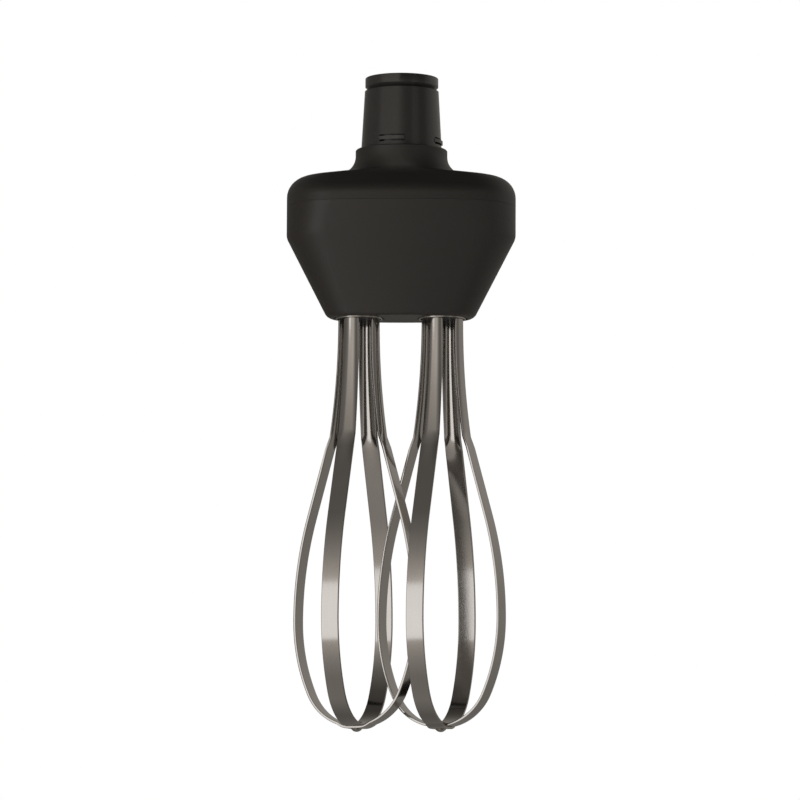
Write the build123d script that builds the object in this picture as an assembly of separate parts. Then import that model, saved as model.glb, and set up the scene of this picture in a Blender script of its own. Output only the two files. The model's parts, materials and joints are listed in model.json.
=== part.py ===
from build123d import *
import math
import os

# Twin whisk attachment for a hand mixer. Millimetres and degrees, +Z up the neck.
# The origin is the centre of the seat on top of the collar. The whisks hang side by side along X.

# Coupling stub
stub_height = 25.45
stub_base_radius = 14.05
stub_neck_radius = 12.9
stub_rim_radius = 12.75
stub_rim_height = 3.1
groove_width = 1.6
groove_depth = 0.9
stub_edge_round = 0.3
socket_radius = 10.2
socket_depth = 12.0
cup_wall = 4.4
stub_floor = 2.0
spigot_radius = 12.0
spigot_length = 9.5
latch_count = 3
latch_spacing = 90.0
latch_turn = 257.0
latch_width = 9.0
latch_level = 2.0
latch_height = 1.2
latch_proud = 0.35
relief_height = 0.6
relief_depth = 0.5

# Housing, seen from the front (lengths) and from the side (depths)
collar_radius = 16.0
collar_rim_edge = 0.3
dome_level = 7.95
dome_fall = 2.3
flare_round = 6.3
dome_round = 7.3
belt_half_length = 39.9
corner_level = 30.9
corner_round = 5.0
underside_level = 59.1
underside_half_length = 25.5
end_round = 3.2
brow_level = 9.0
brow_fall = 6.5
brow_round = 5.0
brow_edge_round = 6.0
flank_share = 4.0
parting_level = 20.0
belt_half_depth = 21.5
underside_half_depth = 11.6
front_round = 1.2
round_steps = 4
level_step = 0.2
oval_margin = 0.02
housing_wall = 2.4
lip_height = 2.0
joint_gap = 0.1
bore_edge = 0.5

# Gear train
whisk_spacing = 29.0
pinion_teeth = 10
wheel_teeth = 19
pressure_angle = 25.0
addendum_share = 0.8
dedendum_share = 1.0
tooth_backlash = 0.14
flank_steps = 3
gear_width = 3.6
sync_width = 4.0
level_gap = 0.6
thrust_gap = 0.3

# Shafts, bushes and clips
input_radius = 3.0
idler_shaft_radius = 2.0
input_square = 4.0
dog_radius = 4.2
dog_height = 9.0
dog_splines = 6
spline_width = 1.6
spline_proud = 1.1
bush_wall = 1.6
bush_flange = 1.6
flange_height = 1.0
spindle_radius = 4.0
spindle_square = 5.6
spindle_tip_radius = 2.5
boss_wall = 2.2
boss_drop = 2.6
pin_head_radius = 3.4
pin_head_height = 1.0
clip_width = 1.3
clip_height = 0.7
running_gap = 0.05
seat_gap = 0.02

# Whisks
ferrule_radius = 8.2
ferrule_wall = 0.4
ferrule_proud = 0.35
hub_gap = 0.25
hub_height = 13.0
slot_depth = 8.6
strip_width = 6.35
strip_thickness = 0.9
slot_gap = 0.04
shank_radius = 7.1
shank_width = 5.45
curl_radius = 3.4
shank_straight = 1.0
shank_steps = 6
kink_level = 102.5
kink_radius = 10.2
kink_half = 2.0
belly_lean = 16.0
widest_level = 163.9
balloon_radius = 22.55
bottom_level = 200.7
bottom_radius = 18.7
pad_margin = 0.5
joggle_run = 2.4
pad_ease = 0.4
leg_turn = -22.5
rivet_radius = 1.2
rivet_head_radius = 1.95
rivet_head_height = 1.1
rivet_top_height = 0.6

# Worked out from the sizes above
axis_x = whisk_spacing / 2
gear_module = whisk_spacing / (pinion_teeth + wheel_teeth)
sync_teeth = pinion_teeth + wheel_teeth
root_share = pinion_teeth / 2 - dedendum_share

socket_bottom = stub_height - socket_depth
cup_radius = stub_base_radius - cup_wall
cover_ceiling = -dome_level - dome_fall - housing_wall

level_1_top = cover_ceiling - level_gap
level_1_bottom = level_1_top - gear_width
level_2_top = level_1_bottom - level_gap
level_2_bottom = level_2_top - gear_width
level_3_top = level_2_bottom - level_gap
level_3_bottom = level_3_top - gear_width
shaft_end = level_3_bottom - thrust_gap - clip_height
sync_top = shaft_end - thrust_gap
sync_bottom = sync_top - sync_width
gear_floor = sync_bottom - thrust_gap - flange_height

hub_radius = ferrule_radius - ferrule_wall - seat_gap
hub_top = -underside_level + hub_height
bush_bottom = hub_top + thrust_gap
slot_top = -underside_level + slot_depth

# The loop's middle line: two arcs, a straight run and the bottom arc, each tangent to the next
lean = math.radians(belly_lean)
spread = balloon_radius - kink_radius
drop = widest_level - kink_level
upper_radius = (drop - spread / math.tan(lean)) / math.tan(lean / 2)
bottom_centre_z = bottom_radius - bottom_level
side_rise = -widest_level - bottom_centre_z
side_swell = balloon_radius - bottom_radius
side_shift = (side_rise**2 + side_swell**2) / (2 * side_swell)
side_radius = bottom_radius + side_shift
side_turn = math.atan2(side_rise, side_shift - side_swell)

# The shank's middle line: straight down out of the hub, then one outward arc to the kink.
# Across its width the shank is curled about an upright line, tightest at the hub.
curl_axis = shank_radius - curl_radius
shank_bend_z = -underside_level - shank_straight
shank_fall = shank_bend_z + kink_level
shank_spread = kink_radius - shank_radius
shank_bend_radius = (shank_fall**2 + shank_spread**2) / (2 * shank_spread)

pad_half = strip_width / 2 + pad_margin
inner_run = pad_half + pad_ease
outer_run = pad_half + joggle_run
inner_pad_z = bottom_centre_z - math.sqrt(bottom_radius**2 - inner_run**2)
outer_pad_z = inner_pad_z - strip_thickness


def turned(points):
    """Solid of revolution about Z from a closed outline of (radius, height) points."""
    return revolve(Plane.XZ * make_face(Polyline(*points, close=True)), axis=Axis.Z)


def ring(outer, inner, bottom, top):
    """Plain ring about Z."""
    return turned([(inner, bottom), (outer, bottom), (outer, top), (inner, top)])


def rod(radius, bottom, top):
    """Plain round bar about Z."""
    return extrude(Plane.XY.offset(bottom) * Circle(radius), top - bottom)


def square_bar(width, bottom, top):
    """Square bar about Z."""
    return extrude(Plane.XY.offset(bottom) * Rectangle(width, width), top - bottom)


def oval_outline(half_length, half_depth, level):
    """Oval of four arcs that run into each other: two round ends and two nearly flat flanks."""
    flank = flank_share * half_length
    end = (2 * flank * half_depth - half_depth**2 - half_length**2) / (2 * (flank - half_length))
    swing = math.asin((half_length - end) / (flank - end))
    x = flank * math.sin(swing)
    y = half_depth - flank * (1 - math.cos(swing))
    outline = make_face([
        ThreePointArc((-x, -y), (0, -half_depth), (x, -y)),
        ThreePointArc((x, -y), (half_length, 0), (x, y)),
        ThreePointArc((x, y), (0, half_depth), (-x, y)),
        ThreePointArc((-x, y), (-half_length, 0), (-x, -y)),
    ])
    return Pos(0, 0, level) * outline


def straight_run(start, end):
    """Straight stretch of a silhouette: its end levels, and its half width at a level between them."""
    def half_width(level):
        return start[0] + (end[0] - start[0]) * (start[1] - level) / (start[1] - end[1])
    return [start[1], end[1]], half_width


def round_run(before, corner, after):
    """Rounded corner of a silhouette: its start, its end, its levels and its half width at a level."""
    point = Vector(corner[0], corner[1])
    arriving = (point - Vector(before[0], before[1])).normalized()
    leaving = (Vector(after[0], after[1]) - point).normalized()
    turn = math.radians(arriving.get_angle(leaving))
    tangent = corner[2] * math.tan(turn / 2)
    start = point - arriving * tangent
    end = point + leaving * tangent
    centre = point + (leaving - arriving).normalized() * (corner[2] / math.cos(turn / 2))
    bulge = math.copysign(1, corner[0] - centre.X)
    first = math.atan2(start.Y - centre.Y, start.X - centre.X)
    sweep = math.copysign(turn, -bulge)
    angles = [first + sweep * step / round_steps for step in range(round_steps + 1)]
    levels = [centre.Y + corner[2] * math.sin(angle) for angle in angles]

    def half_width(level):
        return centre.X + bulge * math.sqrt(max(corner[2]**2 - (level - centre.Y)**2, 0))
    return (start.X, start.Y), (end.X, end.Y), levels, half_width


def silhouette(corners):
    """Runs of a rounded outline, from its top down to its last corner."""
    runs = []
    here = corners[0]
    for before, corner, after in zip(corners, corners[1:], corners[2:]):
        start, end, levels, half_width = round_run(before, corner, after)
        runs.append(straight_run(here, start))
        runs.append((levels, half_width))
        here = end
    return runs


def half_width_at(runs, level):
    """Half width of a silhouette at a level."""
    reach = [half_width for levels, half_width in runs if levels[-1] - level_step / 2 <= level <= levels[0]]
    return reach[0](level)


def housing_runs():
    """The housing's two silhouettes: lengthways along X and depthways along Y."""
    lengthways = silhouette([
        (collar_radius - collar_rim_edge, 0),
        (collar_radius, -collar_rim_edge, 0),
        (collar_radius, -dome_level, flare_round),
        (belt_half_length, -dome_level - dome_fall, dome_round),
        (belt_half_length, -corner_level, corner_round),
        (underside_half_length, -underside_level, end_round),
        (0, -underside_level),
    ])
    depthways = silhouette([
        (collar_radius - collar_rim_edge, 0),
        (collar_radius, -collar_rim_edge, 0),
        (collar_radius, -brow_level, brow_round),
        (belt_half_depth, -brow_level - brow_fall, brow_edge_round),
        (belt_half_depth, -parting_level, 0),
        (underside_half_depth, -underside_level, front_round),
        (0, -underside_level),
    ])
    return lengthways, depthways


def housing_form(inset, top, bottom):
    """Housing body between two levels, lofted through both silhouettes and drawn in by an inset."""
    lengthways, depthways = housing_runs()
    found = sorted(level for levels, half_width in lengthways + depthways for level in levels)
    levels = [bottom]
    for level in found:
        if levels[-1] + level_step < level < top - level_step:
            levels.append(level)
    levels.append(top)
    outlines = []
    for level in levels:
        half_length = half_width_at(lengthways, level) - inset
        half_depth = half_width_at(depthways, level) - inset
        outlines.append(oval_outline(max(half_length, half_depth + oval_margin), half_depth, level))
    return loft(outlines, ruled=True)


def coupling_stub():
    """Tapered stub with a rim groove, a stepped cup for the motor's drive and a spigot below."""
    groove_top = stub_height - stub_rim_height
    groove_bottom = groove_top - groove_width
    groove_floor = stub_rim_radius - groove_depth
    body = turned([
        (0, -spigot_length),
        (spigot_radius, -spigot_length),
        (spigot_radius, 0),
        (stub_base_radius, 0),
        (stub_neck_radius, groove_bottom),
        (groove_floor, groove_bottom + groove_width / 2),
        (stub_rim_radius, groove_top),
        (stub_rim_radius, stub_height),
        (0, stub_height),
    ])
    body = fillet(body.edges().group_by(Axis.Z)[-1], stub_edge_round)
    body -= rod(socket_radius, socket_bottom, stub_height)
    body -= rod(cup_radius, stub_floor, socket_bottom)
    body -= rod(input_radius + bush_wall + seat_gap, -spigot_length, stub_floor)
    latch_top = latch_level + latch_height
    bar = ring(stub_base_radius + latch_proud, spigot_radius, latch_level, latch_top)
    relief_floor = stub_base_radius - relief_depth
    relief = ring(collar_radius, relief_floor, latch_level - relief_height, latch_top + relief_height)
    reach = Pos(collar_radius / 2, 0, latch_level) * Box(collar_radius, latch_width, 2 * stub_height)
    for index in range(latch_count):
        turn = Rot(0, 0, latch_turn + index * latch_spacing)
        body -= relief & (turn * reach)
        body += bar & (turn * reach)
    return body


def upper_cover():
    """Dome that sweeps up into the collar, with a bore for the stub's spigot and bosses inside."""
    cover = housing_form(0, 0, -parting_level)
    cover -= housing_form(housing_wall, cover_ceiling, -parting_level)
    inside = oval_outline(belt_half_length - housing_wall, belt_half_depth - housing_wall, -parting_level)
    lip_inset = housing_wall / 2 + joint_gap / 2
    lip = oval_outline(belt_half_length - lip_inset, belt_half_depth - lip_inset, -parting_level) - inside
    cover += extrude(lip, -lip_height)
    cover -= rod(spigot_radius + seat_gap, -spigot_length, 0)
    cover -= rod(input_radius + bush_wall + seat_gap, cover_ceiling, -spigot_length)
    boss_top = cover_ceiling + housing_wall / 2
    pin_boss = rod(idler_shaft_radius + boss_wall, level_1_top + thrust_gap, boss_top)
    cover += Pos(axis_x, 0, 0) * pin_boss
    cover -= Pos(axis_x, 0, 0) * rod(idler_shaft_radius + seat_gap, level_1_top, boss_top)
    cover += Pos(-axis_x, 0, 0) * rod(spindle_tip_radius + boss_wall, cover_ceiling - boss_drop, boss_top)
    cover -= Pos(-axis_x, 0, 0) * rod(spindle_tip_radius + running_gap, cover_ceiling - boss_drop, boss_top)
    return cover


def lower_housing():
    """Funnel with a gear chamber, a rebate for the cover's lip and two stepped bores below."""
    body = housing_form(0, -parting_level, -underside_level)
    body -= housing_form(housing_wall, -parting_level, gear_floor)
    rebate_inset = housing_wall / 2 - joint_gap / 2
    rebate = oval_outline(belt_half_length - rebate_inset, belt_half_depth - rebate_inset, -parting_level)
    body -= extrude(rebate, -lip_height - joint_gap)
    bush_radius = spindle_radius + bush_wall + seat_gap
    pocket_radius = ferrule_radius + hub_gap
    for side in (-1, 1):
        centre = Pos(side * axis_x, 0, 0)
        body -= centre * rod(bush_radius, bush_bottom, gear_floor)
        body -= centre * rod(pocket_radius, -underside_level, bush_bottom)
        mouth = [
            (0, -underside_level),
            (pocket_radius + bore_edge, -underside_level),
            (pocket_radius, bore_edge - underside_level),
            (0, bore_edge - underside_level),
        ]
        body -= centre * turned(mouth)
    return body


def flanged_bush(bore, bottom, seat):
    """Bush with a flange that rests on a seat."""
    outer = bore + bush_wall
    sleeve = ring(outer, bore + running_gap, bottom, seat)
    return sleeve + ring(outer + bush_flange, bore + running_gap, seat, seat + flange_height)


def tooth_outline(teeth, first_tooth):
    """Outline of a spur gear with involute flanks, one tooth pointing at a given angle."""
    pitch_radius = gear_module * teeth / 2
    base_radius = pitch_radius * math.cos(math.radians(pressure_angle))
    tip_radius = pitch_radius + addendum_share * gear_module
    root_radius = pitch_radius - dedendum_share * gear_module
    flank_radius = max(base_radius, root_radius)
    pressure = math.radians(pressure_angle)
    pitch_half = math.pi / (2 * teeth) - tooth_backlash / (4 * pitch_radius)
    base_half = pitch_half + math.tan(pressure) - pressure
    flank = [(root_radius, base_half)] if root_radius < base_radius else []
    for step in range(flank_steps + 1):
        radius = flank_radius + (tip_radius - flank_radius) * step / flank_steps
        roll = math.acos(base_radius / radius)
        flank.append((radius, base_half - math.tan(roll) + roll))
    points = []
    for tooth in range(teeth):
        middle = math.radians(first_tooth) + 2 * math.pi * tooth / teeth
        for radius, half in flank:
            points.append((radius * math.cos(middle - half), radius * math.sin(middle - half)))
        for radius, half in reversed(flank):
            points.append((radius * math.cos(middle + half), radius * math.sin(middle + half)))
    return make_face(Polyline(*points, close=True))


def toothed(teeth, first_tooth, bottom, top):
    """Spur gear blank about Z."""
    return extrude(Plane.XY.offset(bottom) * tooth_outline(teeth, first_tooth), top - bottom)


def input_shaft():
    """Shaft with the input pinion cut on it, a square top and a slim lower end."""
    square_top = stub_floor + flange_height + dog_height
    shaft = square_bar(input_square, stub_floor, square_top)
    shaft += rod(input_radius, level_1_top, stub_floor + flange_height)
    shaft += toothed(pinion_teeth, 0, level_1_bottom, level_1_top)
    return shaft + rod(idler_shaft_radius, shaft_end, level_1_bottom)


def drive_dog():
    """Splined dog on the shaft's square top, inside the stub's cup."""
    bottom = stub_floor + flange_height + thrust_gap
    top = stub_floor + flange_height + dog_height
    outline = Circle(dog_radius)
    tooth = Pos(dog_radius, 0) * Rectangle(2 * spline_proud, spline_width)
    for index in range(dog_splines):
        outline += Rot(0, 0, index * 360 / dog_splines) * tooth
    dog = extrude(Plane.XY.offset(bottom) * outline, top - bottom)
    return dog - square_bar(input_square + 2 * seat_gap, bottom, top)


def compound_gear(wheel_turn, wheel_top, pinion_bottom):
    """Wheel with a pinion under it, bored to run on its shaft."""
    wheel_bottom = wheel_top - gear_width
    gear = toothed(wheel_teeth, wheel_turn, wheel_bottom, wheel_top)
    gear += toothed(pinion_teeth, 0, pinion_bottom, wheel_bottom)
    return gear - rod(idler_shaft_radius + running_gap, pinion_bottom, wheel_top)


def right_idler_pin():
    """Headed pin that hangs from the cover and carries the right idler."""
    head_top = level_2_bottom - thrust_gap
    pin = rod(idler_shaft_radius, head_top, cover_ceiling + housing_wall / 2)
    return pin + rod(pin_head_radius, head_top - pin_head_height, head_top)


def spindle(square_top, tip_top):
    """Whisk spindle: round journal, square gear seat and a slim round tip."""
    journal_bottom = -underside_level + (hub_height - slot_depth) / 2
    bar = rod(spindle_radius, journal_bottom, sync_bottom)
    bar += square_bar(spindle_square, sync_bottom, square_top)
    return bar + rod(spindle_tip_radius, square_top, tip_top)


def seated_gear(teeth, first_tooth, bottom, top):
    """Whisk gear broached square for its spindle."""
    return toothed(teeth, first_tooth, bottom, top) - square_bar(spindle_square + 2 * seat_gap, bottom, top)


def drive_gear():
    """Left driven gear, with a spacer foot that stands on the gear below it."""
    gear = seated_gear(wheel_teeth, 180, level_3_bottom, level_3_top)
    foot = rod(gear_module * root_share * 2, sync_top, level_3_bottom)
    return gear + (foot - square_bar(spindle_square + 2 * seat_gap, sync_top, level_3_bottom))


def push_clip(shaft_radius, bottom):
    """Push-on retaining washer."""
    return ring(shaft_radius + clip_width, shaft_radius + seat_gap, bottom, bottom + clip_height)


def on_circle(centre, radius, angle):
    """Point on a circle in the loop's plane."""
    return (centre[0] + radius * math.cos(angle), centre[1] + radius * math.sin(angle))


def loop_arc(centre, radius, start, end):
    """Arc in the loop's plane between two angles."""
    middle = (start + end) / 2
    points = [on_circle(centre, radius, angle) for angle in (start, middle, end)]
    return ThreePointArc(*points)


def strip_side(offset, run, pad_z):
    """Half of one face of a loop, from the kink down to the middle of the rivet pad."""
    kink_bottom = -kink_level - kink_half
    start_radius = kink_radius + kink_half * math.tan(lean) + offset / math.cos(lean)
    upper_centre = (balloon_radius - upper_radius, -widest_level)
    side_centre = (balloon_radius - side_radius, -widest_level)
    bottom_centre = (0, bottom_centre_z)
    run_angle = -math.acos(run / bottom_radius)
    upper = loop_arc(upper_centre, upper_radius + offset, lean, 0)
    side = loop_arc(side_centre, side_radius + offset, 0, -side_turn)
    bottom = loop_arc(bottom_centre, bottom_radius + offset, -side_turn, run_angle)
    pad_corner = (pad_half, pad_z - offset)
    return [
        Line((start_radius, kink_bottom), upper @ 0),
        upper,
        side,
        bottom,
        Line(bottom @ 1, pad_corner),
        Line(pad_corner, (0, pad_z - offset)),
    ]


def loop_belly(run, pad_z):
    """Flat strip bent into the balloon, both legs and the rivet pad."""
    half = strip_thickness / 2
    outer = strip_side(half, run, pad_z)
    inner = strip_side(-half, run, pad_z)
    caps = [Line(outer[0] @ 0, inner[0] @ 0), Line(outer[-1] @ 1, inner[-1] @ 1)]
    band = extrude(Plane.XZ * make_face(outer + inner + caps), strip_width / 2, both=True)
    belly = band + mirror(band, about=Plane.YZ)
    pad_hole = rod(rivet_radius + seat_gap, pad_z - strip_thickness, pad_z + strip_thickness)
    return belly - pad_hole


def shank_face_radius(level, offset):
    """Distance of a shank face from the whisk axis at a height."""
    fall = max(shank_bend_z - level, 0)
    return shank_radius + shank_bend_radius - math.sqrt((shank_bend_radius - offset)**2 - fall**2)


def shank_section(level):
    """Section of a leg at a height above the kink, curled across its width."""
    half = strip_thickness / 2
    share = max(shank_bend_z - level, 0) / (shank_fall - kink_half)
    half_width = (shank_width + (strip_width - shank_width) * share) / 2
    outer = shank_face_radius(level, half) - curl_axis
    inner = shank_face_radius(level, -half) - curl_axis
    outer_x = curl_axis + math.sqrt(outer**2 - half_width**2)
    inner_x = curl_axis + math.sqrt(inner**2 - half_width**2)
    section = make_face([
        ThreePointArc((outer_x, -half_width), (curl_axis + outer, 0), (outer_x, half_width)),
        Line((outer_x, half_width), (inner_x, half_width)),
        ThreePointArc((inner_x, half_width), (curl_axis + inner, 0), (inner_x, -half_width)),
        Line((inner_x, -half_width), (outer_x, -half_width)),
    ])
    return Plane.XY.offset(level) * section


def shank():
    """Upper stretch of one leg, from the hub's slot down to the kink, where it goes flat."""
    end = -kink_level + kink_half
    sections = [shank_section(slot_top)]
    for step in range(shank_steps + 1):
        sections.append(shank_section(shank_bend_z + (end - shank_bend_z) * step / shank_steps))
    middle = kink_radius + kink_half * math.tan(lean)
    flat = Pos(middle, 0) * Rectangle(strip_thickness / math.cos(lean), strip_width)
    sections.append(Plane.XY.offset(-kink_level - kink_half) * flat)
    return loft(sections, ruled=True)


def whisk_loop(run, pad_z):
    """One loop: balloon and two shanks in a single strip."""
    leg = shank()
    return loop_belly(run, pad_z) + leg + Rot(0, 0, 180) * leg


def whisk_hub():
    """Hub with a blind bore for the spindle and four curved slots for the strips."""
    hub = rod(hub_radius, -underside_level, hub_top)
    hub -= rod(spindle_radius + seat_gap, -underside_level + (hub_height - slot_depth) / 2, hub_top)
    half = strip_thickness / 2 + slot_gap
    slot = ring(curl_radius + half, curl_radius - half, -underside_level, slot_top + slot_gap)
    width = shank_width + 2 * slot_gap
    reach = Pos(hub_radius / 2, 0, -underside_level) * Box(hub_radius, width, 2 * hub_height)
    for index in range(4):
        hub -= Rot(0, 0, leg_turn + index * 90) * Pos(curl_axis, 0, 0) * (slot & reach)
    return hub


def whisk_ferrule():
    """Thin steel sleeve round the hub, standing a little proud of the housing's underside."""
    return ring(ferrule_radius, ferrule_radius - ferrule_wall, -underside_level - ferrule_proud, hub_top)


def whisk_rivet():
    """Domed rivet through both loops, with a flat formed head inside."""
    under = outer_pad_z - strip_thickness / 2
    over = inner_pad_z + strip_thickness / 2
    bowl = (rivet_head_radius**2 + rivet_head_height**2) / (2 * rivet_head_height)
    cap = Pos(0, 0, under - rivet_head_height + bowl) * Sphere(bowl)
    head = cap & rod(rivet_head_radius, under - rivet_head_height, under)
    return head + rod(rivet_radius, under, over) + rod(rivet_head_radius, over, over + rivet_top_height)


def write(name, shape, x=0.0, turn=0.0):
    """Turn a piece about Z, set it on its axis and write it out."""
    export_step(Pos(x, 0, 0) * Rot(0, 0, turn) * shape, os.path.join("parts", name + ".step"))


def write_whisk(side, x, outer_turn, inner_turn, square_top, tip_top):
    """Pieces that both whisks have."""
    write(side + "_hub", whisk_hub(), x)
    write(side + "_ferrule", whisk_ferrule(), x)
    write(side + "_spindle", spindle(square_top, tip_top), x)
    write(side + "_outer_loop", whisk_loop(outer_run, outer_pad_z), x, outer_turn)
    write(side + "_inner_loop", whisk_loop(inner_run, inner_pad_z), x, inner_turn)
    write(side + "_rivet", whisk_rivet(), x)
    write(side + "_sync_gear", seated_gear(sync_teeth, 0, sync_bottom, sync_top), x)
    write(side + "_clip", push_clip(spindle_tip_radius, square_top), x)
    write(side + "_bush", flanged_bush(spindle_radius, bush_bottom, gear_floor), x)


os.makedirs("parts", exist_ok=True)
write("coupling_stub", coupling_stub())
write("upper_cover", upper_cover())
write("lower_housing", lower_housing())
write("input_bush", flanged_bush(input_radius, cover_ceiling, stub_floor))
write("input_shaft", input_shaft())
write("drive_dog", drive_dog())
write("shaft_clip", push_clip(idler_shaft_radius, shaft_end))
write("centre_idler", compound_gear(180, level_2_top, level_3_bottom))
write("right_idler", compound_gear(0, level_1_top, level_2_bottom), axis_x)
write("right_idler_pin", right_idler_pin(), axis_x)
write("left_drive_gear", drive_gear(), -axis_x)
left_tip = cover_ceiling + housing_wall / 2 - thrust_gap
right_tip = sync_top + clip_height + thrust_gap
write_whisk("left", -axis_x, leg_turn, leg_turn + 90, level_3_top, left_tip)
write_whisk("right", axis_x, leg_turn + 90, leg_turn, sync_top, right_tip)
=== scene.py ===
"""Looks of a twin whisk attachment for a hand mixer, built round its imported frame."""

import json
import logging
import math
from dataclasses import dataclass, field
from enum import Enum
from typing import Any, Iterable, Sequence

import bmesh
import bpy
import numpy as np
from mathutils import Matrix, Vector


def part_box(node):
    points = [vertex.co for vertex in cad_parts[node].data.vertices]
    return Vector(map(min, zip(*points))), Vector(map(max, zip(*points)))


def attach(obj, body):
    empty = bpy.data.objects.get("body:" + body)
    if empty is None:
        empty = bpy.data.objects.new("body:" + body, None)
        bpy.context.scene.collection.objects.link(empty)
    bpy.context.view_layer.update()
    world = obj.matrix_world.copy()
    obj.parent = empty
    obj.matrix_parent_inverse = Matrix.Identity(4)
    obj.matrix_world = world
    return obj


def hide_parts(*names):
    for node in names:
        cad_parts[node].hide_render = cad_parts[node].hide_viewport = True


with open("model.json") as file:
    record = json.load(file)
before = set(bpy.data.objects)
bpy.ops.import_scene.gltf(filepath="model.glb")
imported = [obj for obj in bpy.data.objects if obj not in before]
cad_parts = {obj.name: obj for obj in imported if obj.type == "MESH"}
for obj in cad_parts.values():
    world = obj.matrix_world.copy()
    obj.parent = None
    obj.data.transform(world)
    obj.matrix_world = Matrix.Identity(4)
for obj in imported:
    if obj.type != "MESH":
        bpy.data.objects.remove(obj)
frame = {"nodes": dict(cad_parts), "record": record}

log = logging.getLogger("twin_whisk")

MM = 0.001
Colour = tuple[float, float, float]
Point = tuple[float, float]


class Body(Enum):
    """CAD bodies that pieces ride on."""

    HOUSING = "housing"
    INPUT = "input"
    LEFT_WHISK = "left_whisk"
    RIGHT_WHISK = "right_whisk"


class Slot(Enum):
    """Material slots of the record."""

    GLOSS_BLACK = "gloss_black"
    SATIN_BLACK = "satin_black"
    HUB_BLACK = "hub_black"
    STRIP_STEEL = "strip_steel"
    RIVET_STEEL = "rivet_steel"
    SHAFT_STEEL = "shaft_steel"
    BUSH_BRONZE = "bush_bronze"
    GEAR_PLASTIC = "gear_plastic"
    DOG_PLASTIC = "dog_plastic"


class Side(Enum):
    """The two whisks, by the side of the housing they hang from."""

    LEFT = "left"
    RIGHT = "right"

    @property
    def body(self) -> Body:
        """CAD body of this whisk."""
        return Body(f"{self.value}_whisk")

    def node(self, piece: str) -> str:
        """CAD node of one of this whisk's pieces."""
        return f"{self.value}_{piece}"


class Value:
    """A node socket that takes part in Python arithmetic."""

    def __init__(self, graph: "Graph", socket: bpy.types.NodeSocket) -> None:
        """Wrap a socket of a graph."""
        self.graph = graph
        self.socket = socket

    def math(self, operation: str, *others: "Value | float", swapped: bool = False) -> "Value":
        """Add a Math node.

        Args:
            operation: The Math node's operation.
            others: The other operands.
            swapped: True where this value is the second operand.

        Returns:
            The node's result.
        """
        operands = [self, *others]
        if swapped:
            operands.reverse()
        node = self.graph.node("ShaderNodeMath", {"operation": operation}, dict(enumerate(operands)))
        return self.graph.value(node)

    def __add__(self, other: "Value | float") -> "Value":
        """Sum."""
        return self.math("ADD", other)

    __radd__ = __add__

    def __sub__(self, other: "Value | float") -> "Value":
        """Difference."""
        return self.math("SUBTRACT", other)

    def __rsub__(self, other: float) -> "Value":
        """Difference from a number."""
        return self.math("SUBTRACT", other, swapped=True)

    def __mul__(self, other: "Value | float") -> "Value":
        """Product."""
        return self.math("MULTIPLY", other)

    __rmul__ = __mul__

    def __truediv__(self, other: "Value | float") -> "Value":
        """Quotient."""
        return self.math("DIVIDE", other)

    def __rtruediv__(self, other: float) -> "Value":
        """Quotient of a number."""
        return self.math("DIVIDE", other, swapped=True)


class Graph:
    """A node tree that is written as calls and expressions."""

    def __init__(self, tree: bpy.types.NodeTree) -> None:
        """Wrap a node tree."""
        self.tree = tree

    def node(self, kind: str, settings: dict[str, Any] | None = None,
             inputs: dict[int | str, Any] | None = None) -> bpy.types.Node:
        """Add a node.

        Args:
            kind: The node's type name.
            settings: Properties that are set first. "stops" sets a ramp's (position, colour) pairs.
            inputs: Values or links of its sockets, by index or name.

        Returns:
            The new node.
        """
        node = self.tree.nodes.new(kind)
        for name, setting in (settings or {}).items():
            if name == "stops":
                self.set_stops(node.color_ramp, setting)
            else:
                setattr(node, name, setting)
        for key, given in (inputs or {}).items():
            socket = node.inputs[key]
            if isinstance(given, Value):
                self.tree.links.new(given.socket, socket)
            else:
                socket.default_value = given
        return node

    @staticmethod
    def set_stops(ramp: bpy.types.ColorRamp, stops: Sequence[tuple[float, Colour]]) -> None:
        """Set a ramp's positions and colours."""
        while len(ramp.elements) < len(stops):
            ramp.elements.new(1.0)
        for element, (position, colour) in zip(ramp.elements, stops):
            element.position = position
            element.color = (*colour, 1.0)

    def value(self, node: bpy.types.Node, output: int | str = 0) -> Value:
        """One output of a node."""
        return Value(self, node.outputs[output])

    def add(self, kind: str, settings: dict[str, Any] | None = None,
            inputs: dict[int | str, Any] | None = None, output: int | str = 0) -> Value:
        """Add a node and take one output of it."""
        return self.value(self.node(kind, settings, inputs), output)

    def mix(self, amount: Value, low: Value | Colour, high: Value | Colour) -> Value:
        """Colour between two colours."""
        ends = [end if isinstance(end, Value) else (*end, 1.0) for end in (low, high)]
        settings = {"data_type": "RGBA"}
        return self.add("ShaderNodeMix", settings, {0: amount, 6: ends[0], 7: ends[1]}, 2)

    def noise(self, place: Value, scale: float, detail: float = 2.0) -> Value:
        """Noise between 0 and 1 at a place."""
        inputs = {"Vector": place, "Scale": scale, "Detail": detail}
        return self.add("ShaderNodeTexNoise", None, inputs)

    def stretched(self, place: Value, scale: Sequence[float]) -> Value:
        """A place scaled along each axis."""
        return self.add("ShaderNodeMapping", None, {"Vector": place, "Scale": tuple(scale)})


def shade(colour: Colour, share: float) -> Colour:
    """A colour made lighter or darker by a share."""
    return tuple(channel * share for channel in colour)


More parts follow.
